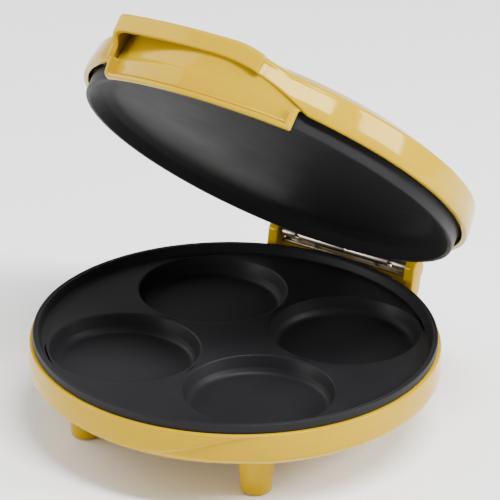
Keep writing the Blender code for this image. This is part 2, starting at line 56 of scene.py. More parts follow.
axisY = (plateLow.y + plateHigh.y) / 2
millimetre = 0.001
drawn = Matrix.Translation((0, axisY, 0)) @ Matrix.Scale(millimetre, 4)
opened = Matrix.Translation(hingeAt) @ Matrix.Rotation(-lidOpen, 4, "X") @ Matrix.Translation(-hingeAt)
placing = {"base": drawn, "lid": opened @ drawn}
rimZ = plateHigh.z / millimetre
plateR = (plateHigh.x - plateLow.x) / 2 / millimetre
hingeY = (hingeAt.y - axisY) / millimetre
hingeZ = hingeAt.z / millimetre
print("frame read: rim", round(rimZ, 1), "hinge", round(hingeY, 1), round(hingeZ, 1))


# small helpers for numbers and meshes

def smooth(t):
    t = np.clip(t, 0.0, 1.0)
    return t * t * (3 - 2 * t)


def softMin(a, b, width):
    return (a + b - np.sqrt((a - b) ** 2 + width * width)) / 2


def softMax(a, b, width):
    return (a + b + np.sqrt((a - b) ** 2 + width * width)) / 2


def roundedPath(corners, arcSteps=5):
    # corners are (across, up, fillet); the path keeps its first and last corner sharp
    path = [corners[0][:2]]
    for before, here, after in zip(corners, corners[1:], corners[2:]):
        p, q, r = (np.array(c[:2], float) for c in (before, here, after))
        fillet = here[2] if len(here) > 2 else 0.0
        into, out = p - q, r - q
        intoLength, outLength = np.linalg.norm(into), np.linalg.norm(out)
        into, out = into / intoLength, out / outLength
        angle = math.acos(max(-1.0, min(1.0, float(into @ out))))
        if fillet <= 0 or angle > math.pi - 0.01:
            path.append(tuple(q))
            continue
        back = min(fillet / math.tan(angle / 2), intoLength * 0.49, outLength * 0.49)
        start, end = q + into * back, q + out * back
        for i in range(arcSteps + 1):
            t = i / arcSteps
            weight = 2 * t * (1 - t)
            # a rational quadratic with the corner as its control point is a true arc
            w = math.sin(angle / 2)
            a, b, c = (1 - t) ** 2, weight * w, t * t
            path.append(tuple((start * a + q * b + end * c) / (a + b + c)))
    path.append(corners[-1][:2])
    return path


def gridFaces(columns, rows, wrapColumns=True, wrapRows=True):
    faces = []
    for i in range(columns if wrapColumns else columns - 1):
        for j in range(rows if wrapRows else rows - 1):
            a, b = i, (i + 1) % columns
            c, d = j, (j + 1) % rows
            faces.append((a * rows + c, b * rows + c, b * rows + d, a * rows + d))
    return faces


def tidyMesh(mesh, body, sharpAngle=32):
    shape = bmesh.new()
    shape.from_mesh(mesh)
    bmesh.ops.remove_doubles(shape, verts=shape.verts, dist=0.004)
    bmesh.ops.dissolve_degenerate(shape, edges=shape.edges, dist=0.0005)
    bmesh.ops.recalc_face_normals(shape, faces=shape.faces)
    shape.to_mesh(mesh)
    shape.free()
    mesh.transform(placing[body])
    mesh.shade_smooth()
    mesh.set_sharp_from_angle(angle=math.radians(sharpAngle))


def meshPiece(name, points, faces, body, sharpAngle=32):
    mesh = bpy.data.meshes.new(name)
    mesh.from_pydata([tuple(p) for p in points], [], faces)
    tidyMesh(mesh, body, sharpAngle)
    piece = bpy.data.objects.new(name, mesh)
    bpy.context.scene.collection.objects.link(piece)
    return piece


def hand(piece, body, paint, slotName, *nodes):
    # give a finished piece its paint and its body, and hide the CAD nodes that it stands for
    piece.data.materials.clear()
    piece.data.materials.append(paint)
    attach(piece, body)
    if nodes:
        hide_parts(*nodes)
    return piece


# Geometry Nodes trees

def newTree(name, inputs):
    tree = bpy.data.node_groups.new(name, "GeometryNodeTree")
    tree.interface.new_socket(name="Geometry", in_out="INPUT", socket_type="NodeSocketGeometry")
    for label, kind in inputs:
        tree.interface.new_socket(name=label, in_out="INPUT", socket_type=kind)
    tree.interface.new_socket(name="Geometry", in_out="OUTPUT", socket_type="NodeSocketGeometry")
    return tree, tree.nodes.new("NodeGroupInput"), tree.nodes.new("NodeGroupOutput")


def addNode(tree, kind, values=None, **settings):
    node = tree.nodes.new(kind)
    for key, value in settings.items():
        setattr(node, key, value)
    for key, value in (values or {}).items():
        if isinstance(value, bpy.types.NodeSocket):
            tree.links.new(value, node.inputs[key])
        else:
            node.inputs[key].default_value = value
    return node


def sums(tree, operation, first, second=0.0):
    return addNode(tree, "ShaderNodeMath", {0: first, 1: second}, operation=operation).outputs[0]


def finishTree(tree, group, output, geometry):
    real = addNode(tree, "GeometryNodeRealizeInstances", {"Geometry": geometry})
    painted = addNode(tree, "GeometryNodeSetMaterial",
                      {"Geometry": real.outputs[0], "Material": group.outputs["Paint"]})
    tree.links.new(painted.outputs[0], output.inputs[0])


def turningTree():
    # turns an outline of points in x and z round the z axis
    tree, group, output = newTree("turnedOutline", [("Points", "NodeSocketInt"), ("Sides", "NodeSocketInt"),
                                                    ("Paint", "NodeSocketMaterial")])
    across = sums(tree, "ADD", group.outputs["Sides"], 1)
    grid = addNode(tree, "GeometryNodeMeshGrid", {"Size X": 1.0, "Size Y": 1.0, "Vertices X": across,
                                                  "Vertices Y": group.outputs["Points"]})
    place = addNode(tree, "GeometryNodeInputPosition")
    split = addNode(tree, "ShaderNodeSeparateXYZ", {0: place.outputs[0]})
    angle = sums(tree, "MULTIPLY", sums(tree, "ADD", split.outputs["X"], 0.5), 2 * math.pi)
    last = sums(tree, "SUBTRACT", group.outputs["Points"], 1)
    row = sums(tree, "ROUND", sums(tree, "MULTIPLY", sums(tree, "ADD", split.outputs["Y"], 0.5), last))
    outlineAt = addNode(tree, "GeometryNodeInputPosition")
    sample = addNode(tree, "GeometryNodeSampleIndex", data_type="FLOAT_VECTOR", domain="POINT")
    tree.links.new(group.outputs["Geometry"], sample.inputs["Geometry"])
    tree.links.new(outlineAt.outputs[0], sample.inputs["Value"])
    tree.links.new(row, sample.inputs["Index"])
    corner = addNode(tree, "ShaderNodeSeparateXYZ", {0: sample.outputs[0]})
    x = sums(tree, "MULTIPLY", corner.outputs["X"], sums(tree, "COSINE", angle))
    y = sums(tree, "MULTIPLY", corner.outputs["X"], sums(tree, "SINE", angle))
    at = addNode(tree, "ShaderNodeCombineXYZ", {"X": x, "Y": y, "Z": corner.outputs["Z"]})
    moved = addNode(tree, "GeometryNodeSetPosition", {"Geometry": grid.outputs["Mesh"],
                                                      "Position": at.outputs[0]})
    closed = addNode(tree, "GeometryNodeMergeByDistance", {"Geometry": moved.outputs[0],
                                                           "Distance": 0.004})
    finishTree(tree, group, output, closed.outputs[0])
    return tree


def copiesTree():
    # four copies on the corners of a rectangle
    tree, group, output = newTree("cornerCopies", [("Spread X", "NodeSocketFloat"),
                                                   ("Spread Y", "NodeSocketFloat"),
                                                   ("Paint", "NodeSocketMaterial")])
    grid = addNode(tree, "GeometryNodeMeshGrid", {"Size X": group.outputs["Spread X"],
                                                  "Size Y": group.outputs["Spread Y"],
                                                  "Vertices X": 2, "Vertices Y": 2})
    copies = addNode(tree, "GeometryNodeInstanceOnPoints", {"Points": grid.outputs["Mesh"],
                                                            "Instance": group.outputs["Geometry"]})
    finishTree(tree, group, output, copies.outputs[0])
    return tree


def rowTree():
    # copies at an even pitch along x, centred on the middle
    tree, group, output = newTree("evenRow", [("Count", "NodeSocketInt"), ("Pitch", "NodeSocketFloat"),
                                              ("Paint", "NodeSocketMaterial")])
    gaps = sums(tree, "SUBTRACT", group.outputs["Count"], 1)
    start = sums(tree, "MULTIPLY", sums(tree, "MULTIPLY", gaps, group.outputs["Pitch"]), -0.5)
    first = addNode(tree, "ShaderNodeCombineXYZ", {"X": start})
    step = addNode(tree, "ShaderNodeCombineXYZ", {"X": group.outputs["Pitch"]})
    line = addNode(tree, "GeometryNodeMeshLine", {"Count": group.outputs["Count"],
                                                  "Start Location": first.outputs[0],
                                                  "Offset": step.outputs[0]})
    copies = addNode(tree, "GeometryNodeInstanceOnPoints", {"Points": line.outputs[0],
                                                            "Instance": group.outputs["Geometry"]})
    finishTree(tree, group, output, copies.outputs[0])
    return tree


def grow(name, mesh, tree, values):
    # run a tree on a mesh and keep the result as a plain mesh object
    source = bpy.data.objects.new(name + "Source", mesh)
    bpy.context.scene.collection.objects.link(source)
    growth = source.modifiers.new("growth", "NODES")
    growth.node_group = tree
    for item in tree.interface.items_tree:
        if item.in_out == "INPUT" and item.name in values:
            growth[item.identifier] = values[item.name]
    source.update_tag()
    graph = bpy.context.evaluated_depsgraph_get()
    result = bpy.data.meshes.new_from_object(source.evaluated_get(graph))
    bpy.data.objects.remove(source)
    result.name = name
    return result


turning, fourCopies, evenRow = turningTree(), copiesTree(), rowTree()


def turnedMesh(name, corners, paint, sides=96, arcSteps=5):
    # corners run down the outer side and back, as (radius, height, fillet)
    path = roundedPath(corners, arcSteps)
    outline = bpy.data.meshes.new(name + "Outline")
    outline.from_pydata([(r, 0, z) for r, z in path], [(i, i + 1) for i in range(len(path) - 1)], [])
    return grow(name, outline, turning, {"Points": len(path), "Sides": sides, "Paint": paint})


def pieceFrom(name, mesh, body, move=(0, 0, 0), turn=None, sharpAngle=32):
    if turn is not None:
        mesh.transform(turn)
    mesh.transform(Matrix.Translation(move))
    tidyMesh(mesh, body, sharpAngle)
    piece = bpy.data.objects.new(name, mesh)
    bpy.context.scene.collection.objects.link(piece)
    return piece


def plateOutline(name, outline, low, high, axis, bevel, body, segments=3):
    # a flat outline in the other two axes, given thickness along the named axis, edges rounded
    shape = bmesh.new()
    ends = []
    for level in (low, high):
        corners = [(level, a, b) if axis == "X" else (a, b, level) for a, b in outline]
        ends.append([shape.verts.new(c) for c in corners])
    shape.faces.new(ends[0])
    shape.faces.new(list(reversed(ends[1])))
    for i in range(len(outline)):
        j = (i + 1) % len(outline)
        shape.faces.new((ends[0][i], ends[1][i], ends[1][j], ends[0][j]))
    bmesh.ops.recalc_face_normals(shape, faces=shape.faces)
    sharp = [e for e in shape.edges if e.calc_face_angle(0) > math.radians(35)]
    bmesh.ops.bevel(shape, geom=sharp, offset=bevel, segments=segments, profile=0.5, affect="EDGES",
                    clamp_overlap=True)
    mesh = bpy.data.meshes.new(name)
    shape.to_mesh(mesh)
    shape.free()
    return pieceFrom(name, mesh, body)


# finishes

def newGroup(name, inputs, outputs):
    group = bpy.data.node_groups.new(name, "ShaderNodeTree")
    for label, kind, value in inputs:
        socket = group.interface.new_socket(name=label, in_out="INPUT", socket_type=kind)
        socket.default_value = value
    for label, kind in outputs:
        group.interface.new_socket(name=label, in_out="OUTPUT", socket_type=kind)
    return group, group.nodes.new("NodeGroupInput"), group.nodes.new("NodeGroupOutput")


def grainGroup():
    # colour, roughness and a fine relief that drift over the surface
    group, given, result = newGroup(
        "surfaceGrain",
        [("Light", "NodeSocketColor", (1, 1, 1, 1)), ("Dark", "NodeSocketColor", (0, 0, 0, 1)),
         ("Stretch", "NodeSocketVector", (1, 1, 1)), ("Drift Scale", "NodeSocketFloat", 20.0),
         ("Grain Scale", "NodeSocketFloat", 800.0), ("Smoothest", "NodeSocketFloat", 0.1),
         ("Roughest", "NodeSocketFloat", 0.2), ("Relief", "NodeSocketFloat", 0.05)],
        [("Colour", "NodeSocketColor"), ("Roughness", "NodeSocketFloat"), ("Normal", "NodeSocketVector")])
    place = addNode(group, "ShaderNodeTexCoord")
    stretched = addNode(group, "ShaderNodeMapping", {"Vector": place.outputs["Object"],
                                                     "Scale": given.outputs["Stretch"]})
    drift = addNode(group, "ShaderNodeTexNoise", {"Vector": stretched.outputs[0],
                                                  "Scale": given.outputs["Drift Scale"], "Detail": 3.0})
    grain = addNode(group, "ShaderNodeTexNoise", {"Vector": stretched.outputs[0],
                                                  "Scale": given.outputs["Grain Scale"], "Detail": 2.0})
    colour = addNode(group, "ShaderNodeMix", data_type="RGBA")
    group.links.new(drift.outputs["Fac"], colour.inputs[0])
    group.links.new(given.outputs["Dark"], colour.inputs["A"])
    group.links.new(given.outputs["Light"], colour.inputs["B"])
    both = sums(group, "MULTIPLY", sums(group, "ADD", drift.outputs["Fac"], grain.outputs["Fac"]), 0.5)
    rough = addNode(group, "ShaderNodeMapRange", {"Value": both, "From Min": 0.3, "From Max": 0.7,
                                                  "To Min": given.outputs["Smoothest"],
                                                  "To Max": given.outputs["Roughest"]})
    relief = addNode(group, "ShaderNodeBump", {"Height": grain.outputs["Fac"],
                                               "Strength": given.outputs["Relief"], "Distance": 0.0002})
    group.links.new(colour.outputs["Result"], result.inputs["Colour"])
    group.links.new(rough.outputs[0], result.inputs["Roughness"])
    group.links.new(relief.outputs[0], result.inputs["Normal"])
    return group


surfaceGrain = grainGroup()


def finish(name, light, dark, smoothest, roughest, relief=0.05, drift=20.0, grain=800.0,
           stretch=(1, 1, 1), metallic=0.0, **shaderValues):
    paint = bpy.data.materials.new(name)
    paint.use_nodes = True
    tree = paint.node_tree
    shader = tree.nodes["Principled BSDF"]
    look = addNode(tree, "ShaderNodeGroup", node_tree=surfaceGrain)
    values = {"Light": (*light, 1), "Dark": (*dark, 1), "Stretch": stretch, "Drift Scale": drift,
              "Grain Scale": grain, "Smoothest": smoothest, "Roughest": roughest, "Relief": relief}
    for key, value in values.items():
        look.inputs[key].default_value = value
    tree.links.new(look.outputs["Colour"], shader.inputs["Base Color"])
    tree.links.new(look.outputs["Roughness"], shader.inputs["Roughness"])
    tree.links.new(look.outputs["Normal"], shader.inputs["Normal"])
    shader.inputs["Metallic"].default_value = metallic
    for key, value in shaderValues.items():
        shader.inputs[key.replace("_", " ")].default_value = value
    return paint


glossYellow = finish("glossYellow", (0.43, 0.268, 0.0), (0.405, 0.248, 0.0), 0.08, 0.15, relief=0.03,
                     drift=14, grain=500, Specular_Tint=(1.0, 0.72, 0.25, 1.0), Specular_IOR_Level=0.24,
                     Coat_Weight=0.06, Coat_Roughness=0.03)
nonStick = finish("nonStickCoating", (0.012, 0.012, 0.013), (0.008, 0.008, 0.009), 0.40, 0.55, relief=0.16,
                  drift=30, grain=1600, Specular_IOR_Level=0.12)
platedSteel = finish("platedSteel", (0.40, 0.36, 0.30), (0.24, 0.21, 0.17), 0.28, 0.42, relief=0.04,
                     drift=60, grain=500, stretch=(0.15, 1, 1), metallic=1.0)
sheetAluminium = finish("sheetAluminium", (0.80, 0.80, 0.81), (0.62, 0.62, 0.64), 0.28, 0.45, relief=0.1,
                        drift=40, grain=700, stretch=(1, 0.1, 1), metallic=1.0)
heaterSheath = finish("heaterSheath", (0.24, 0.21, 0.19), (0.10, 0.09, 0.09), 0.4, 0.62, relief=0.25,
                      drift=80, grain=1200, metallic=1.0)
ceramic = finish("terminalCeramic", (0.84, 0.81, 0.74), (0.74, 0.71, 0.64), 0.45, 0.7, relief=0.3,
                 drift=70, grain=1500)
padRubber = finish("footRubber", (0.035, 0.035, 0.036), (0.018, 0.018, 0.018), 0.7, 0.9, relief=0.5,
                   drift=90, grain=1400)
glandPlastic = finish("glandPlastic", (0.025, 0.025, 0.026), (0.014, 0.014, 0.015), 0.35, 0.5, relief=0.3,
                      drift=60, grain=1300)
redLens = finish("powerLens", (0.75, 0.03, 0.02), (0.55, 0.015, 0.01), 0.05, 0.12, relief=0.02,
                 Transmission_Weight=0.35, Coat_Weight=0.5)
greenLens = finish("readyLens", (0.03, 0.52, 0.08), (0.02, 0.36, 0.05), 0.05, 0.12, relief=0.02,
                   Transmission_Weight=0.35, Coat_Weight=0.5)
glassSleeve = finish("glassFibreSleeve", (0.82, 0.80, 0.74), (0.66, 0.63, 0.56), 0.6, 0.85, relief=0.8,
                     drift=200, grain=1800, stretch=(1, 1, 3))
slotPaints = {"yellow_shell": glossYellow, "nonstick_plate": nonStick, "plated_steel": platedSteel,
              "reflector_sheet": sheetAluminium, "heater_sheath": heaterSheath,
              "terminal_ceramic": ceramic, "foot_rubber": padRubber, "gland_plastic": glandPlastic,
              "power_lens": redLens, "ready_lens": greenLens, "lead_sleeve": glassSleeve}

for part in frame["record"]["subparts"]:
    node = frame["nodes"][part["node"]]
    node.data.materials.clear()
    node.data.materials.append(slotPaints[part["material_slot"]])
print("finishes made for", len(frame["nodes"]), "CAD nodes")


# base shell

bowl = {"topZ": rimZ - 5.2, "outerR": 112.3, "bottomZ": 20.5, "wall": 2.2, "creaseDepth": 1.1,
        "creaseZ": rimZ - 20.0, "creaseRise": 14.2, "creaseFrom": 6.0, "creaseOver": 34.0,
        "turnIn": 15.5, "turnDown": 8.2, "turnSteps": 14}
columnsRound = 360


def creaseHeight(degrees):
    return bowl["creaseZ"] + bowl["creaseRise"] * smooth((degrees - bowl["creaseFrom"]) / bowl["creaseOver"])


def baseBowl():
    top, outer, wall = bowl["topZ"], bowl["outerR"], bowl["wall"]
    bottom = bowl["bottomZ"]
    turnR, turnZ = outer - 0.1, top - 13.5
    side = roundedPath([(outer - 3.0, top), (outer - 0.5, top, 0.8), (outer, top - 8), (turnR, turnZ)], 6)
    under = []
    for i in range(1, bowl["turnSteps"] + 1):
        a = i / bowl["turnSteps"] * math.pi / 2
        under.append((turnR - bowl["turnIn"] * (1 - math.cos(a)), turnZ - bowl["turnDown"] * math.sin(a)))
    foot = roundedPath([(96.8, 26.1), (86, 24.2, 8), (80, bottom, 4), (0, bottom)], 5)
    outside = side + under + foot[1:]
    inside = roundedPath([(0, bottom + wall), (79, bottom + wall, 3), (85, 26.4, 6), (96, 28.4, 10),
                          (109.6, 31.5, 6), (109.8, 40, 2), (outer - 3.0, 44), (outer - 3.0, top)], 5)
    profile = np.array(outside + inside[:-1])
    # more points down the wall, so that the crease has something to bend
    dense = []
    for a, b in zip(profile, np.roll(profile, -1, axis=0)):
        count = max(1, int(abs(a[1] - b[1]) / 0.55)) if a[0] > 108 and a[1] > 28 else 1
        dense += [a + (b - a) * k / count for k in range(count)]
    profile = np.array(dense)
    isOutside = np.arange(len(profile)) < np.argmin(profile[:, 0])
    points = []
    for i in range(columnsRound):
        degrees = -180 + 360 * i / columnsRound
        a = math.radians(degrees)
        radius = profile[:, 0].copy()
        fade = smooth((degrees + 75) / 25) * smooth((43 - degrees) / 10)
        below = 1 - smooth((profile[:, 1] - creaseHeight(degrees) + 0.5) / 1.0)
        reach = smooth((profile[:, 0] - 96) / 10)
        radius -= bowl["creaseDepth"] * below * fade * isOutside * reach
        points += [(r * math.sin(a), -r * math.cos(a), z) for r, z in zip(radius, profile[:, 1])]
    return meshPiece("baseBowl", points, gridFaces(columnsRound, len(profile)), "base", 40)


feet = {"spreadX": 110.0, "spreadY": 125.0, "topR": 10.4, "toeR": 8.2, "topZ": 24.0, "toeZ": 0.6}


def footPegs():
    corners = [(0, feet["topZ"]), (feet["topR"], feet["topZ"], 0.2), (feet["toeR"], feet["toeZ"], 1.6),
               (6.9, feet["toeZ"], 0.3), (6.9, 2.2, 0.2), (0, 2.2)]
    peg = turnedMesh("footPeg", corners, glossYellow, 64)
    four = grow("footPegs", peg, fourCopies, {"Spread X": feet["spreadX"], "Spread Y": feet["spreadY"],
                                              "Paint": glossYellow})
    return pieceFrom("footPegs", four, "base")


posts = {"innerX": 41.5, "outerX": 48.0, "crownR": 5.6, "round": 1.3, "padR": 110.3, "padFront": 109.8,
         "padHalf": 44, "padRear": 116.4}


def hingePosts():
    r = posts["crownR"]
    crown = [(hingeY + r * math.cos(math.radians(a)), hingeZ + r * math.sin(math.radians(a)))
             for a in range(170, -56, -9)]
    outline = [(hingeY - 7.6, 31), (hingeY - 7.2, 47)] + crown + [(hingeY + 2, 46), (hingeY - 3, 36)]
    for side, label in ((-1, "left"), (1, "right")):
        low, high = sorted((side * posts["innerX"], side * posts["outerX"]))
        post = plateOutline("hingePost." + label, outline, low, high, "X", posts["round"], "base")
        hand(post, "base", glossYellow, "yellow_shell")
    half, rear = posts["padHalf"], posts["padRear"]
    bend = [(x, max(posts["padFront"], math.sqrt(posts["padR"] ** 2 - x * x)))
            for x in np.linspace(-half, half, 45)]
    pad = plateOutline("hingePad", bend + [(half, rear), (-half, rear)], 46.2, hingeZ - 6.1, "Z", 0.6, "base")
    hand(pad, "base", glossYellow, "yellow_shell")


hand(baseBowl(), "base", glossYellow, "yellow_shell", "base_shell")
hand(footPegs(), "base", glossYellow, "yellow_shell")
hingePosts()
print("base shell made")


# lower plate with its wells

lower = {"floorZ": rimZ - 5.0, "thick": 2.2, "wellR": 41.0, "wellDepth": 10.0, "pitch": 43.1,
         "lipRound": 1.6, "wellSides": 112, "rimSides": 288}


def ringPoints(radius, height, sides, at=(0, 0)):
    angles = [2 * math.pi * i / sides for i in range(sides)]
    return [(at[0] + radius * math.cos(a), at[1] + radius * math.sin(a), height) for a in angles]


def addTurned(shape, path, sides, at=(0, 0)):
    # rings of vertices joined by quads; a ring of radius 0 is one point
    rings = []
    for r, z in path:
        rings.append([shape.verts.new(p) for p in (ringPoints(r, z, sides, at) if r > 0 else [(*at, z)])])
    for a, b in zip(rings, rings[1:]):
        for i in range(sides):
            j = (i + 1) % sides
            corners = [a[i], a[j]] if len(a) > 1 else [a[0]]
            corners += [b[j], b[i]] if len(b) > 1 else [b[0]]
            shape.faces.new(corners)
    return rings


def fillBetween(shape, loops):
    edges = []
    for ring in loops:
        for i in range(len(ring)):
            a, b = ring[i], ring[(i + 1) % len(ring)]
            edges.append(shape.edges.get((a, b)) or shape.edges.new((a, b)))
    bmesh.ops.triangle_fill(shape, use_beauty=True, edges=edges)


def lowerPlate():
    floor, radius = lower["floorZ"], plateR
    well, deep = lower["wellR"], lower["floorZ"] - lower["wellDepth"]
    under, rounding = floor - lower["thick"], lower["lipRound"]
    shape = bmesh.new()
    rim = roundedPath([(103.2, floor), (105.0, floor, 1.4), (106.6, rimZ - 0.9, 1.0), (107.3, rimZ, 0.35),
                       (108.2, rimZ, 0.15), (108.45, rimZ - 0.35, 0.15), (108.7, rimZ, 0.15),
                       (radius, rimZ, 0.6), (radius, floor + 0.2, 0.4), (107.8, floor + 0.2, 0.3),
                       (107.8, 44.2, 0.3), (105.6, 44.2, 0.3), (105.6, under, 0.4), (103.0, under)], 4)
    rings = addTurned(shape, rim, lower["rimSides"])
    topLoops, underLoops = [rings[0]], [rings[-1]]
    inside = roundedPath([(well + 2.4, floor), (well + 2.0, floor), (well, floor, rounding),
                          (well - 2.0, 41.5, 3), (well - 4.0, deep, 5), (well - 12, deep), (0, deep)], 6)
    outside = roundedPath([(well + 2.2, under), (well + 1.2, under, 1), (well - 0.2, 41, 3),
                           (well - 2.2, deep - 1.8, 5), (well - 11, deep - 1.8), (0, deep - 1.8)], 4)
    for sx in (-1, 1):
        for sy in (-1, 1):
            at = (sx * lower["pitch"], sy * lower["pitch"])
            topLoops.append(addTurned(shape, inside, lower["wellSides"], at)[0])
            underLoops.append(addTurned(shape, outside, lower["wellSides"], at)[0])
    fillBetween(shape, topLoops)
    fillBetween(shape, underLoops)
    mesh = bpy.data.meshes.new("lowerPlate")
    shape.to_mesh(mesh)
    shape.free()
    return pieceFrom("lowerPlate", mesh, "base", sharpAngle=50)


hand(lowerPlate(), "base", nonStick, "nonstick_plate", "lower_plate")
print("lower plate made")


# upper plate

upper = {"lipZ": rimZ + 2.0, "floorZ": rimZ + 10.0, "outerR": 107.6, "centreY": -2.0, "backZ": rimZ + 12.2}


def upperPlate():
    lip, floor, back, outer = upper["lipZ"], upper["floorZ"], upper["backZ"], upper["outerR"]
    corners = [(0, back), (103, back, 0.5), (outer - 0.3, back - 0.4, 0.4), (outer, back - 1.4, 0.4),
               (outer, lip, 0.9), (105.0, lip, 1.0), (99.2, lip + 5.2, 5.0), (93.4, floor, 9.0), (0, floor)]
    return pieceFrom("upperPlate", turnedMesh("upperPlate", corners, nonStick, 288, 8), "lid",
                     (0, upper["centreY"], 0), sharpAngle=50)


hand(upperPlate(), "lid", nonStick, "nonstick_plate", "upper_plate")
print("upper plate made")


# lid shell with its hood and hinge housing

lid = {"centreY": -2.0, "wallR": 113.3, "edgeZ": rimZ + 10.5, "shoulderZ": rimZ + 28.0, "shoulderRound": 2.4,
       "wall": 2.2, "lipWall": 3.0, "taper": 0.155, "taperFrom": 66}
hood = {"frontY": -115.0, "curve": 466.0, "leftX": -62.0, "seamDegrees": 16.6, "topZ": rimZ + 34.6,
        "lowZ": rimZ + 24.0, "topRound": 3.0, "cornerRound": 2.2, "fadeFrom": 15.0, "fadeTo": 52.0,
        "sweep": 0.0044, "sweepFrom": 6.0, "archLeft": 30.1, "archCorner": 26.6}
housing = {"halfX": 52.5, "backY": 121.2, "cornerRound": 3.0, "spread": 45.0}


def hoodFrontRadius(a):
    # distance from the lid's axis to the hood's curved front, in direction a from -Y
    k = math.sin(a) ** 2 / hood["curve"]
    depth = -hood["frontY"] + lid["centreY"]
    if k < 1e-6:
        return depth / math.cos(a)
    return (-math.cos(a) + math.sqrt(math.cos(a) ** 2 + 4 * k * depth)) / (2 * k)


def wallRadius(degrees, z):
    # outer radius of the wall, hood and housing at a height
    z = np.asarray(z, float)
    plain = lid["wallR"] - 0.8 * np.clip((70 - z) / 6.5, 0, 1.2) ** 2
    plain = plain - lid["taper"] * softMax(z - lid["taperFrom"], 0, 1.0)
    a = math.radians(degrees)
    proud = plain
    if -60 < degrees < hood["seamDegrees"] + 1:
        front = np.full_like(z, hoodFrontRadius(a))
        if degrees < 0:
            front -= 3.4 * smooth((hood["lowZ"] - z) / 7.5) + 0.13 * np.clip(70 - z, 0, 9)
            front = softMin(front, -hood["leftX"] / max(1e-6, math.sin(-a)), hood["cornerRound"])
        step = smooth((hood["seamDegrees"] + 0.45 - degrees) / 0.45)
        proud = softMax(plain, plain + (front - plain) * step, 0.3)
    if abs(degrees) > 180 - housing["spread"]:
        b = math.pi - abs(a)
        back = (housing["backY"] - lid["centreY"]) / math.cos(b)
        side = housing["halfX"] / max(1e-6, math.sin(b))
        proud = softMax(plain, softMin(back, side, housing["cornerRound"]), 1.2)
    return proud


def hoodShare(degrees):
    # 1 under the hood's flat top, falling to 0 where the top has run into the plain shoulder
    x = lid["wallR"] * math.sin(math.radians(degrees))
    if degrees >= 0:
        fade = smooth((x - hood["fadeFrom"]) / (hood["fadeTo"] - hood["fadeFrom"]))
        return float(1 - fade) if degrees < 90 else 0.0
    return 1.0 if degrees > -90 else 0.0


crown = {"drawnRimZ": 53.0,
         "outline": [(0, 92.0), (30, 91.9), (60, 91.2), (78, 89.9), (88, 88.6), (94, 87.2), (100, 84.9),
                     (106, 82.2), (109.3, 81.15), (111.2, 81.0), (150, 81.0)]}


def crownHeight(r):
    # the outline is drawn for one rim height and moves with the rim
    across, up = zip(*crown["outline"])
    return np.interp(r, across, up) + rimZ - crown["drawnRimZ"]


def topHeight(degrees, r):
    # the crown, with the hood's flat top laid over it on the front left
    plain = crownHeight(r) - 0.9 * smooth((abs(degrees) - 148) / 5) * smooth((r - 104) / 8)
    share = hoodShare(degrees)
    if share <= 0:
        return plain
    x = r * math.sin(math.radians(degrees))
    inward = smooth((x - hood["leftX"] + 2.0) / 2.0) if degrees < 0 else 1.0
    return plain + np.clip(hood["topZ"] - plain, 0, 99) * share * inward


def bottomHeight(degrees):
    # lower edge of the wall: the arch of the hand hold in front, the plain edge elsewhere
    edge, top = lid["edgeZ"], hood["lowZ"]
    if degrees >= 0:
        x = min(wallRadius(degrees, 75.0), 115.0) * math.sin(math.radians(degrees))
        drop = hood["sweep"] * max(0.0, x - hood["sweepFrom"]) ** 2
        return float(softMax(edge, top - drop, 0.5)) if x < 75 else edge
    left, corner = hood["archLeft"], hood["archCorner"]
    d = -degrees
    if d < corner:
        return top
    if d < left:
        return top - 7.0 + 7.0 * (1 - ((d - corner) / (left - corner)) ** 3) ** (1 / 3)
    return float(edge + (top - 7.0 - edge) * np.clip((left + 0.4 - d) / 0.4, 0, 1))


def lidAngles():
    spans = [(-180, -118, 62), (-118, -40, 60), (-40, -33.5, 14), (-33.5, -24.5, 90), (-24.5, 16.4, 60),
             (16.4, 17.3, 10), (17.3, 40, 44), (40, 118, 60), (118, 180, 62)]
    angles = []
    for start, end, count in spans:
        angles += [start + (end - start) * i / count for i in range(count)]
    return angles


def lidShell():
    inward = np.concatenate([np.linspace(0, 0.5, 6), np.linspace(0.55, 0.8, 8), np.linspace(0.81, 1.0, 28)])
    points = []
    for degrees in lidAngles():
        a = math.radians(degrees)
        share = hoodShare(degrees) if degrees > -34 else 0.0
        low = bottomHeight(degrees)
        roundTop = lid["shoulderRound"] + (hood["topRound"] - lid["shoulderRound"]) * share
        roundTop += 0.8 * float(smooth((abs(degrees) - 150) / 4))
        topR = float(wallRadius(degrees, lid["shoulderZ"] - 1))
        seam = topR - roundTop
        radii = inward * seam
        heights = topHeight(degrees, radii)
        edgeZ = float(heights[-1])
        column = list(zip(radii, heights))
        for i in range(1, 8):
            t = i / 7 * math.pi / 2
            column.append((seam + roundTop * math.sin(t), edgeZ - roundTop * (1 - math.cos(t))))
        down = np.linspace(edgeZ - roundTop, low + 0.7, 16)[1:]
        column += list(zip(wallRadius(degrees, down), down))
        lowR = float(wallRadius(degrees, low + 0.7))
        for i in range(1, 5):
            t = i / 4 * math.pi / 2
            column.append((lowR - 0.7 * (1 - math.cos(t)), low + 0.7 - 0.7 * math.sin(t)))
        column.append((lowR - lid["lipWall"] + 0.3, low))
        column.append((lowR - lid["lipWall"], low + 0.4))
        ceiling = edgeZ - lid["wall"]
        up = np.linspace(low + 2.0, ceiling - 1.0, 8)
        innerR = wallRadius(degrees, up) - lid["wall"] - 0.8 * smooth((low + 9 - up) / 6)
        column += list(zip(innerR, up))
        innerEnd = float(wallRadius(degrees, ceiling)) - lid["wall"] - 1.0
        back = np.linspace(1, 0, 16) * innerEnd
        column += [(r, h - lid["wall"]) for r, h in zip(back, topHeight(degrees, back))]
        rows = len(column)
        points += [(r * math.sin(a), lid["centreY"] - r * math.cos(a), z) for r, z in column]
    return meshPiece("lidShell", points, gridFaces(len(lidAngles()), rows), "lid", 38)


hand(lidShell(), "lid", glossYellow, "yellow_shell", "lid_shell")
print("lid shell made")


# grip panel under the hood

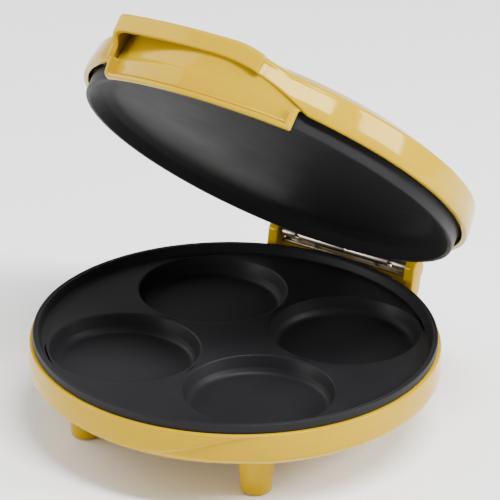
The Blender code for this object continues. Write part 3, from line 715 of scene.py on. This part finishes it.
grip = {"leftX": -59.0, "rightX": 57.8, "lowZ": rimZ - 2.8, "lowRise": 1.6, "topZ": rimZ + 33.5,
        "faceR": 111.6, "rimR": 115.0, "rimWide": 3.0, "leftCorner": 4.5, "rightCorner": 1.0, "thick": 2.2}


def gripFace(x, z, toRim):
    # outer radius of the panel: a plain face with a soft step on its left, and a raised rim round three sides
    left = float(smooth((25 - x) / 70))
    face = grip["faceR"] - 0.02 * (z - 53) - (0.1 + 1.6 * left) * smooth((z - 63.5) / 3.0)
    face -= 0.12 * left * max(0.0, z - 66)
    lean = 2.0 * smooth((-48 - x) / 9) * smooth((z - 50) / 13)
    raised = 1 - smooth((toRim - grip["rimWide"] + 0.7) / 0.8)
    raised *= 1 - float(smooth((z - 63.0) / 2.0))
    bead = 0.35 * math.exp(-((toRim - grip["rimWide"] - 1.0) / 0.35) ** 2) * (1 if z < 62 else 0)
    rounding = 1.0 - min(1.0, toRim / 0.9)
    edge = 0.9 * (1.0 - math.sqrt(max(0.0, 1 - rounding * rounding)))
    return face + (grip["rimR"] + lean - face) * raised + bead - (edge if z < 64 else 0)


def gripLow(x):
    # height of the panel's lower edge, rising to the ends and rounded at both corners
    low = grip["lowZ"] + grip["lowRise"] * (x / 57) ** 2
    for side, size in ((x - grip["leftX"], grip["leftCorner"]), (grip["rightX"] - x, grip["rightCorner"])):
        if side < size:
            low += size - math.sqrt(max(0.0, size * size - (size - side) ** 2))
    return low


def gripPanel():
    ends = [0, 0.1, 0.3, 0.6, 0.9, 1.4, 1.9, 2.3, 2.6, 2.9, 3.2, 3.5, 3.7, 4.0, 4.3, 4.6, 5.0]
    left = [grip["leftX"] + e for e in ends]
    right = [grip["rightX"] - e for e in reversed(ends)]
    across = left + list(np.linspace(left[-1], right[0], 56)[1:-1]) + right
    high = [60, 61.5, 62.6, 63.3, 64, 64.7, 65.4, 66.2, 67, 68.5, 70, 72, 75, 78, 82, grip["topZ"]]
    points = []
    for x in across:
        low = gripLow(x)
        nearSide = min(x - grip["leftX"], grip["rightX"] - x)
        arch = hood["lowZ"] - hood["sweep"] * max(0.0, x - hood["sweepFrom"]) ** 2
        top = grip["topZ"] if x < hood["sweepFrom"] else min(grip["topZ"], arch + 7.0)
        squeeze = (top - 60) / (grip["topZ"] - 60)
        up = [low + e for e in ends]
        up += [max(low + 5.2 + 0.1 * i, 60 + (h - 60) * squeeze) for i, h in enumerate(high)]
        for z in up:
            r = gripFace(x, z, min(nearSide, z - low))
            points.append((x, lid["centreY"] - math.sqrt(r * r - x * x), z))
        for i, z in enumerate(reversed(up)):
            b = gripFace(0, z, 20.0) - grip["thick"]
            nearRim = 1 - smooth((min(z - low, grip["rightX"] - x) - 0.5) / 3.5)
            b += (grip["rimR"] - 2.4 - b) * nearRim * (1 - smooth((z - 63) / 3))
            points.append((x, lid["centreY"] - math.sqrt(b * b - x * x), z))
    rows = 2 * len(up)
    faces = gridFaces(len(across), rows, wrapColumns=False)
    for first in (0, (len(across) - 1) * rows):
        for j in range(len(up) - 1):
            faces.append((first + j, first + j + 1, first + rows - 2 - j, first + rows - 1 - j))
    return meshPiece("gripPanel", points, faces, "lid", 38)


hand(gripPanel(), "lid", glossYellow, "yellow_shell", "handle_insert")
cheek = [(-101.5, 64.8), (-103.5, 70), (-105.4, 77), (-105.4, 84.6), (-96, 84.6), (-91, 78), (-91, 64.8)]
sideWall = plateOutline("gripSideWall", cheek, hood["leftX"] + 0.6, hood["leftX"] + 2.4, "X", 0.3, "lid", 2)
hand(sideWall, "lid", glossYellow, "yellow_shell")
print("grip panel made")


# hinge

hinge = {"barrelR": 2.9, "boreR": 1.62, "pinR": 1.5, "pinHalf": 41.0, "centreHalf": 29.2, "seam": 0.25,
         "endIn": 31.8, "endOut": 40.9, "leafZ": hingeZ - 5.8, "sheet": 1.0}
sideways = Matrix.Rotation(math.radians(90), 4, "Y")


def barrelRow(name, length, pitch, body):
    half = length / 2
    ring = [(hinge["boreR"], half), (hinge["barrelR"], half, 0.3), (hinge["barrelR"], -half, 0.3),
            (hinge["boreR"], -half), (hinge["boreR"], half)]
    barrel = turnedMesh(name, ring, platedSteel, 48, 3)
    barrel.transform(sideways)
    row = grow(name, barrel, evenRow, {"Count": 2, "Pitch": pitch, "Paint": platedSteel})
    return pieceFrom(name, row, body, (0, hingeY, hingeZ), sharpAngle=40)


def hingeParts():
    half, sheet = hinge["centreHalf"], hinge["sheet"]
    length = half - hinge["seam"]
    row = barrelRow("lidHingeBarrels", length, length + 2 * hinge["seam"], "lid")
    hand(row, "lid", platedSteel, "plated_steel")
    outer = hinge["endOut"] - hinge["endIn"]
    row = barrelRow("baseHingeBarrels", outer, hinge["endOut"] + hinge["endIn"], "base")
    hand(row, "base", platedSteel, "plated_steel")
    near, far, top = hingeY - 1.7, hingeY - 2.7, rimZ + 18.2
    outline = [(near, hingeZ - 0.4), (near, top), (93, top), (93, top - sheet), (far, top - sheet),
               (far, hingeZ - 0.4)]
    leaf = plateOutline("lidHingeLeaf", outline, -half + 0.4, half - 0.4, "X", 0.2, "lid", 2)
    hand(leaf, "lid", platedSteel, "plated_steel", "upper_hinge_bracket")
    low = hinge["leafZ"]
    outline = [(110.9, low), (116, low), (116, low + sheet), (110.9, low + sheet)]
    leaf = plateOutline("baseHingeLeaf", outline, -hinge["endOut"], hinge["endOut"], "X", 0.2, "base", 2)
    hand(leaf, "base", platedSteel, "plated_steel", "lower_hinge_bracket")
    for side, label in ((-1, "left"), (1, "right")):
        a, b = sorted((side * hinge["endIn"], side * hinge["endOut"]))
        front, rear = hingeY + 1.7, hingeY + 2.8
        neck = [(front, low + 0.4), (rear, low + 0.4), (rear, hingeZ), (front, hingeZ)]
        piece = plateOutline("hingeNeck." + label, neck, a, b, "X", 0.2, "base", 2)
        hand(piece, "base", platedSteel, "plated_steel")
    end = hinge["pinHalf"]
    pin = [(0, end), (hinge["pinR"], end, 0.3), (hinge["pinR"], -end, 0.3), (0, -end)]
    pinPiece = pieceFrom("hingePin", turnedMesh("hingePin", pin, platedSteel, 32, 3), "base",
                         (0, hingeY, hingeZ), sideways)
    hand(pinPiece, "base", platedSteel, "plated_steel", "hinge_pin")


hingeParts()
print("hinge made")


# lenses, pads, screws and gland

lens = {"spread": 11.0, "y": -72.0, "topZ": rimZ + 36.9, "r": 3.1}
pads = {"r": 6.4, "thick": 1.8}
screws = {"headR": 3.3, "headZ": 28.0, "seatZ": 29.7, "spreadX": 72.0, "spreadY": 188.0, "crossWide": 0.8}


def lensPieces():
    top = lens["topZ"]
    corners = [(0, top + 1.0), (1.6, top + 0.9, 1), (lens["r"], top, 0.8), (lens["r"], 86.2),
               (4.4, 86.2, 0.2), (4.4, 85, 0.2), (0, 85)]
    for x, name, paint, slotName, node in ((-1, "powerLens", redLens, "power_lens", "power_lens"),
                                           (1, "readyLens", greenLens, "ready_lens", "ready_lens")):
        piece = pieceFrom(name, turnedMesh(name, corners, paint, 48), "lid",
                          (x * lens["spread"], lens["y"], 0))
        hand(piece, "lid", paint, slotName, node)


def crossHead():
    # a pan head seen from below, with a cross recess cut as four short grooves
    head, low, seat = screws["headR"], screws["headZ"], screws["seatZ"]
    angles, radii = 64, [0, 0.5, 0.9, 1.3, 1.7, 2.0, 2.4, head - 0.5, head - 0.15, head]
    points = []
    for i in range(angles):
        a = 2 * math.pi * i / angles
        for r in radii:
            crown = 0.5 * (r / head) ** 2 + (0.35 if r >= head else 0)
            inSlot = min(abs(r * math.sin(a)), abs(r * math.cos(a))) < screws["crossWide"] / 2 and r < 1.9
            points.append((r * math.cos(a), r * math.sin(a), low + crown + (0.8 if inSlot else 0)))
        points += [(head, 0, seat), (1.5, 0, seat), (1.5, 0, 41), (0, 0, 41)]
        for k in range(4):
            r, z = points[-4 + k][0], points[-4 + k][2]
            points[-4 + k] = (r * math.cos(a), r * math.sin(a), z)
    mesh = bpy.data.meshes.new("baseScrew")
    mesh.from_pydata(points, [], gridFaces(angles, len(radii) + 4, wrapRows=False))
    return mesh


def underside():
    four = grow("baseScrews", crossHead(), fourCopies, {"Spread X": screws["spreadX"],
                                                        "Spread Y": screws["spreadY"],
                                                        "Paint": platedSteel})
    hand(pieceFrom("baseScrews", four, "base"), "base", platedSteel, "plated_steel",
         *["base_screw_%d" % i for i in range(1, 5)])
    corners = [(0, pads["thick"]), (pads["r"], pads["thick"], 0.2), (pads["r"], 0, 0.5), (4.2, 0, 0.1),
               (3.9, 0.4, 0.1), (0, 0.4)]
    pad = turnedMesh("footPad", corners, padRubber, 48, 3)
    four = grow("footPads", pad, fourCopies, {"Spread X": feet["spreadX"], "Spread Y": feet["spreadY"],
                                              "Paint": padRubber})
    hand(pieceFrom("footPads", four, "base"), "base", padRubber, "foot_rubber",
         *["foot_pad_%d" % i for i in range(1, 5)])


def cordGland():
    collar = [(3.2, 9), (6.2, 9, 0.6), (7.2, 7, 0.5), (7.2, 2.8, 0.3), (5.0, 2.8), (5.0, -2.9),
              (6.0, -2.9, 0.3), (6.0, -4.4, 0.3), (3.2, -4.4, 0.3), (3.2, 9)]
    low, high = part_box("cord_gland")
    height = (low.z + high.z) / 2 / millimetre
    turnBack = Matrix.Rotation(math.radians(-90), 4, "X")
    piece = pieceFrom("cordGland", turnedMesh("cordGland", collar, glandPlastic, 64, 3), "base",
                      (0, hingeY - 1.8, height), turnBack)
    hand(piece, "base", glandPlastic, "gland_plastic", "cord_gland")


lensPieces()
underside()
cordGland()
print("lenses, screws, pads and gland made")


# floor, lights and camera

studio = {"floor": 30.0, "floorTone": 0.92, "worldTone": 1.0, "worldStrength": 0.55}
view = {"azimuth": 32.65, "elevation": 26.09, "roll": 1.015, "distance": 2.7035, "lens": 358.9,
        "aim": (-0.0044, 0.0095, 0.0922)}
softboxes = [
    {"name": "frontRightBox", "at": (0.61, -0.21, 1.58), "along": (0.56, 0.22, -0.22), "size": (1.05, 0.3),
     "power": 54},
    {"name": "rightBox", "at": (1.34, 0.45, 0.87), "along": (0.09, 0.28, -0.33), "size": (0.72, 0.4),
     "power": 34},
    {"name": "lowFrontBox", "at": (-1.0, -1.2, 0.22), "along": (1, -1, 0), "size": (0.7, 0.3), "power": 14},
    {"name": "leftBox", "at": (-1.6, -0.2, 1.1), "along": (0, 1, 0), "size": (1.4, 1.4), "power": 24},
]


def makeFloor():
    mesh = bpy.data.meshes.new("floor")
    reach = studio["floor"]
    mesh.from_pydata([(-reach, -reach, 0), (reach, -reach, 0), (reach, reach, 0), (-reach, reach, 0)], [],
                     [(0, 1, 2, 3)])
    floor = bpy.data.objects.new("floor", mesh)
    bpy.context.scene.collection.objects.link(floor)
    paint = bpy.data.materials.new("floorPaint")
    paint.use_nodes = True
    shader = paint.node_tree.nodes["Principled BSDF"]
    tone = studio["floorTone"]
    shader.inputs["Base Color"].default_value = (tone, tone, tone, 1)
    shader.inputs["Roughness"].default_value = 0.9
    shader.inputs["Specular IOR Level"].default_value = 0.0
    mesh.materials.append(paint)


def makeLights():
    aim = Vector(view["aim"])
    for box in softboxes:
        light = bpy.data.lights.new(box["name"], "AREA")
        light.shape = "RECTANGLE"
        light.size, light.size_y = box["size"]
        light.energy = box["power"]
        lamp = bpy.data.objects.new(box["name"], light)
        lamp.location = box["at"]
        away = (lamp.location - aim).normalized()
        across = Vector(box["along"])
        across = (across - away * across.dot(away)).normalized()
        turned = Matrix((across, away.cross(across), away)).transposed()
        lamp.rotation_euler = turned.to_euler()
        bpy.context.scene.collection.objects.link(lamp)
    world = bpy.data.worlds.new("studio")
    world.use_nodes = True
    tone = studio["worldTone"]
    back = world.node_tree.nodes["Background"]
    back.inputs["Color"].default_value = (tone, tone, tone, 1)
    back.inputs["Strength"].default_value = studio["worldStrength"]
    bpy.context.scene.world = world


def makeCamera():
    data = bpy.data.cameras.new("camera")
    data.sensor_width = 36.0
    data.lens = view["lens"]
    data.clip_start, data.clip_end = 0.1, 50.0
    camera = bpy.data.objects.new("camera", data)
    bpy.context.scene.collection.objects.link(camera)
    azimuth, elevation = math.radians(view["azimuth"]), math.radians(view["elevation"])
    turned = Matrix.Rotation(azimuth, 4, "Z") @ Matrix.Rotation(math.pi / 2 - elevation, 4, "X")
    turned = turned @ Matrix.Rotation(math.radians(view["roll"]), 4, "Z")
    back = turned.col[2].to_3d()
    camera.matrix_world = Matrix.Translation(Vector(view["aim"]) + back * view["distance"]) @ turned
    bpy.context.scene.camera = camera


makeFloor()
makeLights()
makeCamera()
print("studio made")
